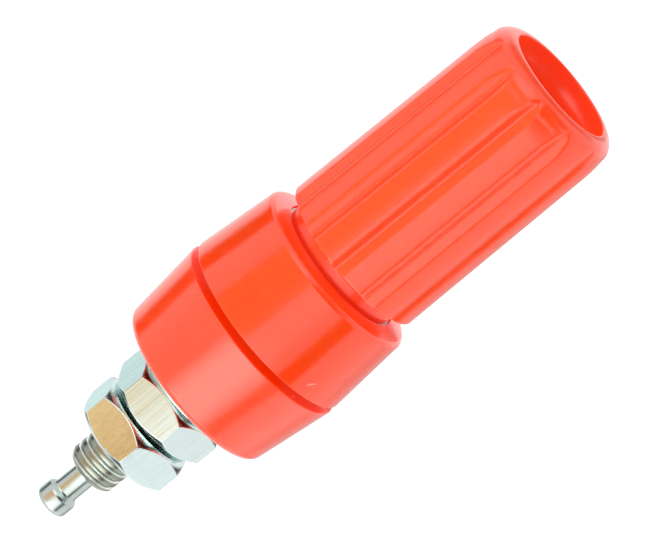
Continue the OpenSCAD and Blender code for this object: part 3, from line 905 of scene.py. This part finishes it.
# A painted reflection of the tan card on the flat that faces the lens, more towards one side and broken
# by the tool lines.
flat_reflection, given, made = new_group(
    "painted_flat_reflection",
    [("Vector", VECTOR, None), ("Outward", VECTOR, None), ("Sideways", VECTOR, None),
     ("Wear", FLOAT, 0.5), ("Left share", FLOAT, 0.0), ("Right share", FLOAT, 0.0)],
    [("Mask", FLOAT)])
out = vector_node(flat_reflection, "DOT_PRODUCT", given["Vector"], given["Outward"])["Value"]
aside = vector_node(flat_reflection, "DOT_PRODUCT", given["Vector"], given["Sideways"])["Value"]
share = ramp(flat_reflection, aside, FLAT_LEFT, FLAT_RIGHT, given["Left share"], given["Right share"])
by_lines = math_node(flat_reflection, "MULTIPLY_ADD", given["Wear"], TAN_REFLECTION_LINES, TAN_REFLECTION_LEAST)
tan_reflection = math_node(flat_reflection, "MULTIPLY", share, by_lines)
on_flat = ramp(flat_reflection, out, FLAT_FROM, FLAT_FULL)
flat_reflection.links.new(math_node(flat_reflection, "MULTIPLY", on_flat, tan_reflection), made["Mask"])

# Painted shade on the chamfers, out at the corners, found by radius and by how far they face up or
# down.
CORNER_SHADE_FROM, CORNER_SHADE_FULL = 3.87 * MM, 4.06 * MM
CHAMFER_FROM, CHAMFER_FULL = 0.6, 0.72
corner_shade_group, given, made = new_group(
    "painted_corner_shade", [("Vector", VECTOR, None), ("Facing", VECTOR, None)], [("Mask", FLOAT)])
far_out = ramp(corner_shade_group, from_axis(corner_shade_group, given["Vector"]), CORNER_SHADE_FROM, CORNER_SHADE_FULL)
lean = add_node(corner_shade_group, "ShaderNodeSeparateXYZ", {"Vector": given["Facing"]}).outputs["Z"]
sloped = ramp(corner_shade_group, math_node(corner_shade_group, "ABSOLUTE", lean), CHAMFER_FROM, CHAMFER_FULL)
corner_shade_group.links.new(math_node(corner_shade_group, "MULTIPLY", far_out, sloped), made["Mask"])
print("nut groups with", len(flat_reflection.nodes), "and", len(corner_shade_group.nodes), "nodes")

# %% [markdown]
# The thread was cut by a die and handled by nuts, and its surface is left duller. Its colour
# is painted darker and greener than the turned tip, a painted shade, and brighter on the
# flanks that face the knob, a painted highlight. A metal can therefore have a painted thread
# between two heights, or a flat with a painted reflection and chamfers with painted shade.

# %% How a metal is plated
MARK_SIZE, STREAK_GLOSS, PLATE_SCRATCH, STREAK_RISE = 0.5, 0.12, 0.15, 1.5
# How far up a face must look for the thread's painted highlight to start and to be full
CREST_FROM, CREST_FULL = 0.45, 0.65
# Painted shade for the nuts' chamfer corners, and how much rougher they are there.
CORNER_SHADE, CORNER_SHADE_GLOSS = (0.05, 0.04, 0.04, 1), 0.15


def facing(tree):
    return add_node(tree, "ShaderNodeNewGeometry").outputs["Normal"]


def metal(name, deep, pale, rough, across, along, fineness, depth, thread=None, flat=None):
    plate = bpy.data.materials.new(name)
    plate.use_nodes = True
    tree = plate.node_tree
    shader = tree.nodes["Principled BSDF"]
    place = add_node(tree, "ShaderNodeTexCoord").outputs["Object"]
    mark = add_node(tree, "ShaderNodeGroup", {
        "Vector": place, "Size": MARK_SIZE}, node_tree=marks).outputs
    tool = add_node(tree, "ShaderNodeGroup", {
        "Vector": place, "Across": across, "Along": along, "Fineness": fineness},
        node_tree=lines).outputs
    colour = mix_colours(tree, math_node(tree, "MULTIPLY", tool["Wear"], mark["Cloud"]), pale, deep)
    gloss = math_node(tree, "MULTIPLY_ADD", tool["Streaks"], STREAK_GLOSS, rough - STREAK_GLOSS / 2)
    gloss = math_node(tree, "MULTIPLY_ADD", mark["Scratches"], PLATE_SCRATCH, gloss)
    # The thread: a painted shade, and a painted highlight on the flanks that face the knob.
    if thread:
        low, high, shade, bright, duller = thread
        inside = add_node(tree, "ShaderNodeGroup", {
            "Vector": place, "Low": low * MM, "High": high * MM}, node_tree=zone).outputs["Mask"]
        lean = add_node(tree, "ShaderNodeSeparateXYZ", {"Vector": facing(tree)}).outputs["Z"]
        cut = mix_colours(tree, ramp(tree, lean, CREST_FROM, CREST_FULL), shade, bright)
        colour = mix_colours(tree, inside, colour, cut)
        gloss = math_node(tree, "MULTIPLY_ADD", inside, duller, gloss)
    # A flat with a painted reflection of the tan card, and chamfers with painted shade out at the
    # corners.
    if flat:
        degrees, shade, left, right = flat
        across_way, out_way = math.cos(math.radians(degrees)), math.sin(math.radians(degrees))
        tan_reflection = add_node(tree, "ShaderNodeGroup", {
            "Vector": place, "Outward": (out_way, -across_way, 0),
            "Sideways": (across_way, out_way, 0), "Wear": tool["Wear"],
            "Left share": left, "Right share": right}, node_tree=flat_reflection).outputs["Mask"]
        colour = mix_colours(tree, tan_reflection, colour, shade)
        # Painted shade on the chamfers, out at the corners, and a rougher surface there.
        corner_shaded = add_node(tree, "ShaderNodeGroup", {
            "Vector": place, "Facing": facing(tree)}, node_tree=corner_shade_group).outputs["Mask"]
        colour = mix_colours(tree, corner_shaded, colour, CORNER_SHADE)
        gloss = math_node(tree, "MULTIPLY_ADD", corner_shaded, CORNER_SHADE_GLOSS, gloss)
    height = math_node(tree, "MULTIPLY_ADD", tool["Streaks"], STREAK_RISE, tool["Height"])
    bump = add_node(tree, "ShaderNodeBump", {
        "Height": height, "Strength": 1.0, "Distance": depth * MM}).outputs["Normal"]
    for socket, value in (("Metallic", 1.0), ("Base Color", colour), ("Roughness", gloss),
                          ("Normal", bump)):
        feed(tree, shader.inputs[socket], value)
    print(f"{name}: {len(tree.nodes)} nodes")
    return plate


print("metal can be plated")

# %% Plate the metals
NICKEL_DEEP, NICKEL_PALE = (0.66, 0.77, 0.74, 1), (0.74, 0.89, 0.87, 1)
DRAWN_DEEP, DRAWN_PALE = (0.66, 0.78, 0.74, 1), (0.76, 0.92, 0.90, 1)
STUD_DEEP, STUD_PALE = (0.45, 0.51, 0.47, 1), (0.56, 0.64, 0.61, 1)
# The thread's painted shade and painted highlight
THREAD_SHADE, THREAD_HIGHLIGHT = (0.33, 0.35, 0.29, 1), (0.92, 0.95, 0.92, 1)
BRASS_DEEP, BRASS_PALE = (0.62, 0.42, 0.16, 1), (0.82, 0.62, 0.29, 1)
# Colours of the painted reflections of the tan card on the nuts' front flats
PANEL_TAN_REFLECTION, TERMINAL_TAN_REFLECTION = (0.50, 0.46, 0.24, 1), (0.42, 0.36, 0.26, 1)
LATHE_LINES = {"across": 0.05, "along": 1.0}
# A thread: low, high, its painted shade and painted highlight, and how much duller. A flat: its turn,
# the colour of its painted reflection, and shares.
stud_nickel = metal(
    "stud_nickel", STUD_DEEP, STUD_PALE, rough=0.25, **LATHE_LINES, fineness=12000, depth=0.0006,
    thread=(THREAD_LOW + 0.1, SHANK_LOW, THREAD_SHADE, THREAD_HIGHLIGHT, 0.03))
washer_nickel = metal(
    "washer_nickel", NICKEL_DEEP, NICKEL_PALE, rough=0.20, **LATHE_LINES, fineness=12000,
    depth=0.0006)
ribbed_nickel = metal(
    "ribbed_nickel", NICKEL_DEEP, NICKEL_PALE, rough=0.14, across=1.0, along=0.02, fineness=8000,
    depth=0.012, flat=(PANEL_NUT_TURN, PANEL_TAN_REFLECTION, 0.45, 0.0))
drawn_nickel = metal(
    "drawn_nickel", DRAWN_DEEP, DRAWN_PALE, rough=0.12, across=1.0, along=0.3, fineness=11000,
    depth=0.01, flat=(TERMINAL_NUT_TURN, TERMINAL_TAN_REFLECTION, 0.02, 0.34))
turned_brass = metal(
    "turned_brass", BRASS_DEEP, BRASS_PALE, rough=0.24, **LATHE_LINES, fineness=9000, depth=0.001)

# %% [markdown]
# ## Putting it on its bodies
# Each new piece rides on the body of the solid that it stands for, so that it moves with
# the joints, and hides that solid.

# %% Assign, ride and replace
for piece, finish, body, node, slot in (
        (stud, stud_nickel, "post", "contact_stud", "nickel_plate"),
        (front_collar, front_red, "post", "front_collar", "red_plastic"),
        (rear_collar, rear_red, "rear_clamp", "rear_collar", "red_plastic"),
        (washer, washer_nickel, "rear_clamp", "washer", "nickel_plate"),
        (panel_nut, ribbed_nickel, "panel_nut", "panel_nut", "nickel_plate"),
        (terminal_nut, drawn_nickel, "terminal_nut", "terminal_nut", "nickel_plate"),
        (bush, turned_brass, "bush", "knob_bush", "brass"),
        (knob, knob_red, "knob", "knob", "red_plastic")):
    piece.data.materials.clear()
    piece.data.materials.append(finish)
    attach(piece, body)
    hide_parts(node)
    print(f"{piece.name} stands for {node} on {body}")
